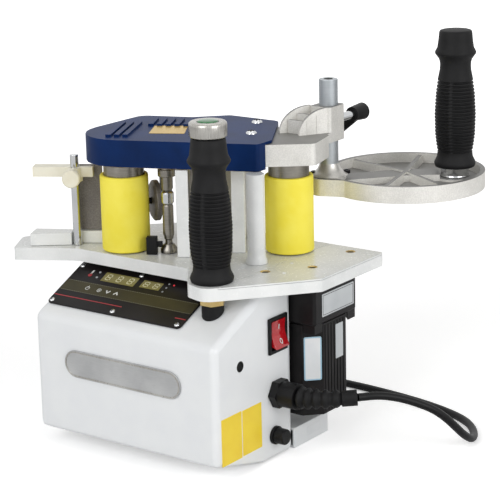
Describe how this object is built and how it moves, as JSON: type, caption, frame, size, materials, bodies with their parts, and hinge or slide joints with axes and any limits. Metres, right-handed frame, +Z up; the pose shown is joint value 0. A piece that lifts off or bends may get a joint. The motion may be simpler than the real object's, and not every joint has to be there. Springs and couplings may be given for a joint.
{
  "type": "edge banding machine",
  "caption": "Benchtop edge banding machine: white housing, angled work plate, yellow feed rollers, blue-covered head, round guide disc and ribbed hand grips.",
  "frame": {"origin": "middle of the flat underside, on the surface the machine stands on", "axes": "+Z up; +X to the operator's right along the front face; +Y away from the operator"},
  "size_m": [0.3778, 0.3135, 0.3376],
  "materials": {
    "white_paint": "satin powder coat",
    "panel_overlay": "printed film",
    "bare_plate": "brushed, bare",
    "black_plastic": "moulded",
    "red_plastic": "moulded",
    "black_rubber": "ribbed",
    "cord_jacket": "soft jacket",
    "green_plastic": "moulded",
    "bright_steel": "turned",
    "zinc_plate": "yellow passivated zinc",
    "yellow_rubber": "ground",
    "black_metal": "ribbed black anodised",
    "cast_aluminium": "sand-cast",
    "blue_plastic": "moulded",
    "chrome_trim": "polished",
    "cream_plastic": "moulded",
    "circuit_board": "board with parts"
  },
  "bodies": {
    "machine": {"housing_cover": "white_paint", "base_tray": "white_paint", "control_panel": "panel_overlay", "nameplate": "bare_plate", "rocker_frame": "black_plastic", "cable_gland": "black_plastic", "cord_boot": "black_rubber", "fuse_holder": "black_plastic", "power_cord": "cord_jacket", "cord_coil": "cord_jacket", "mains_plug": "cord_jacket", "base_plate": "white_paint", "work_plate": "white_paint", "front_grip": "black_rubber", "grip_ring": "chrome_trim", "handle_stud": "bright_steel", "handle_nut": "zinc_plate", "handle_bush": "black_rubber", "left_upper_bearing": "bright_steel", "right_upper_bearing": "bright_steel", "gearbox": "black_metal", "motor_body": "black_metal", "head_casting": "cast_aluminium", "top_cover": "blue_plastic", "head_plate": "zinc_plate", "drive_chain": "bright_steel", "cardan_foot": "chrome_trim", "wheel_arm": "bright_steel", "edge_sensor": "black_plastic", "round_post": "white_paint", "side_post": "white_paint", "side_panel": "white_paint", "guide_rod": "chrome_trim", "guide_rail": "white_paint", "guide_plate": "cast_aluminium", "glue_pot": "cast_aluminium", "control_board": "circuit_board"},
    "right_roller": {"right_roller_sleeve": "yellow_rubber", "right_roller_core": "bright_steel", "right_sprocket": "bright_steel"},
    "left_roller": {"left_roller_sleeve": "yellow_rubber", "left_roller_core": "bright_steel", "left_sprocket": "bright_steel"},
    "cardan": {"cardan_upper_yoke": "bright_steel", "cardan_cross": "bright_steel", "cardan_lower_shaft": "bright_steel", "cardan_sprocket": "bright_steel"},
    "glue_applicator": {"glue_roller": "bright_steel"},
    "disc": {"column": "bright_steel", "guide_disc": "cast_aluminium", "disc_ferrule": "chrome_trim", "disc_grip": "black_rubber"},
    "clamp": {"clamp_stud": "chrome_trim", "clamp_lever": "black_plastic"},
    "start_key": {"start_button": "green_plastic"},
    "power_rocker": {"rocker": "red_plastic"},
    "fuse_carrier": {"fuse_cap": "black_plastic"},
    "upper_guide": {"guide_bar": "cream_plastic"},
    "guide_screw": {"guide_knob": "cream_plastic"},
    "tape_wheel": {"feed_wheel": "bright_steel"}
  },
  "joints": [
    {"name": "right_roller_spin", "type": "hinge", "parent": "machine", "child": "right_roller", "pos_m": [0.0677, 0.0344, 0.2], "axis": [0, 0, 1], "continuous": true},
    {"name": "left_roller_spin", "type": "hinge", "parent": "machine", "child": "left_roller", "pos_m": [-0.054, -0.0345, 0.2], "axis": [0, 0, 1], "continuous": true},
    {"name": "cardan_spin", "type": "hinge", "parent": "machine", "child": "cardan", "pos_m": [-0.0158, -0.0244, 0.2], "axis": [0, 0, 1], "continuous": true},
    {"name": "glue_roller_spin", "type": "hinge", "parent": "machine", "child": "glue_applicator", "pos_m": [-0.018, 0.016, 0.2], "axis": [0, 0, 1], "continuous": true},
    {"name": "disc_slide", "type": "slide", "parent": "machine", "child": "disc", "axis": [0, 0, 1], "range_m": [-0.032, 0.01]},
    {"name": "clamp_lever_turn", "type": "hinge", "parent": "machine", "child": "clamp", "pos_m": [0.0795, 0.11, 0.2655], "axis": [0, 1, 0], "range_deg": [-45, 60]},
    {"name": "start_button_press", "type": "slide", "parent": "machine", "child": "start_key", "axis": [0, 0, -1], "range_m": [0, 0.003], "stiffness_N_per_m": 300},
    {"name": "rocker_tip", "type": "hinge", "parent": "machine", "child": "power_rocker", "pos_m": [0.0953, -0.0257, 0.1082], "axis": [0, 1, 0], "range_deg": [0, 20]},
    {"name": "fuse_cap_turn", "type": "hinge", "parent": "machine", "child": "fuse_carrier", "pos_m": [0.0953, -0.0306, 0.0215], "axis": [1, 0, 0], "range_deg": [0, 90]},
    {"name": "guide_bar_slide", "type": "slide", "parent": "machine", "child": "upper_guide", "axis": [0, 0, 1], "range_m": [-0.045, 0.005]},
    {"name": "guide_knob_turn", "type": "hinge", "parent": "upper_guide", "child": "guide_screw", "pos_m": [-0.0956, -0.0519, 0.22275], "axis": [0.5, -0.866, 0], "range_deg": [0, 180]},
    {"name": "feed_wheel_spin", "type": "hinge", "parent": "machine", "child": "tape_wheel", "pos_m": [-0.041, -0.009, 0.2], "axis": [0.6157, 0.788, 0], "continuous": true}
  ],
  "couplings": [
    {"joint": "left_roller_spin", "follows": "right_roller_spin", "ratio": 1},
    {"joint": "cardan_spin", "follows": "right_roller_spin", "ratio": 1},
    {"joint": "glue_roller_spin", "follows": "right_roller_spin", "ratio": 1}
  ]
}
